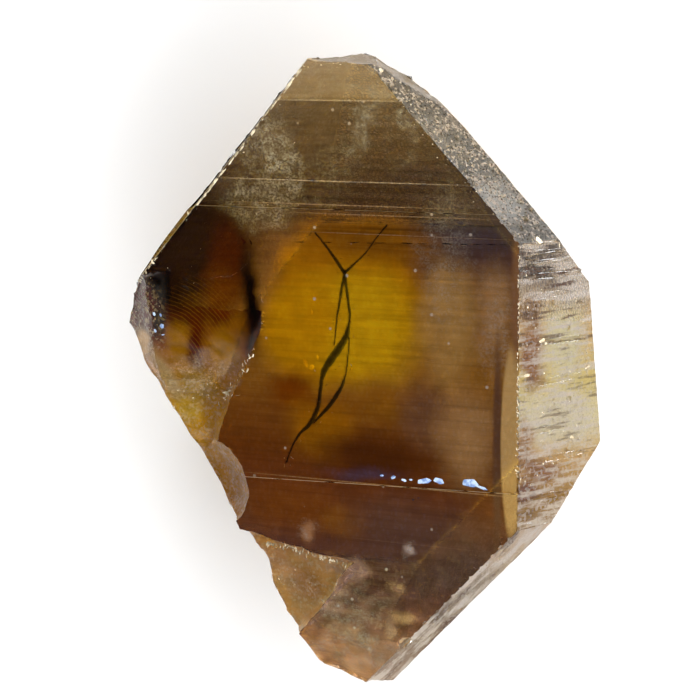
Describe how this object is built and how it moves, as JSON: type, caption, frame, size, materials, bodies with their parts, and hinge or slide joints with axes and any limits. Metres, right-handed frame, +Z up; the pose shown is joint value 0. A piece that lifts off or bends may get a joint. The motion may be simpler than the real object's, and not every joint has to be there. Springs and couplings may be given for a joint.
{
  "type": "citrine crystal point",
  "caption": "Large flat-sided smoky golden quartz crystal with a broken tip, side and root, lying on its back face as a display stone.",
  "frame": {"origin": "middle of the crystal's outline from above, at the height of the surface that it lies on", "axes": "+Z up out of the striated front face, +Y along the crystal's long axis towards its tip, +X towards its narrow right side"},
  "size_m": [0.124, 0.1586, 0.05],
  "materials": {
    "citrine": "clear and glossy on the front face, frosted on the narrow side faces, shell-like where broken"
  },
  "bodies": {
    "root": {"crystal": "citrine"}
  },
  "joints": []
}
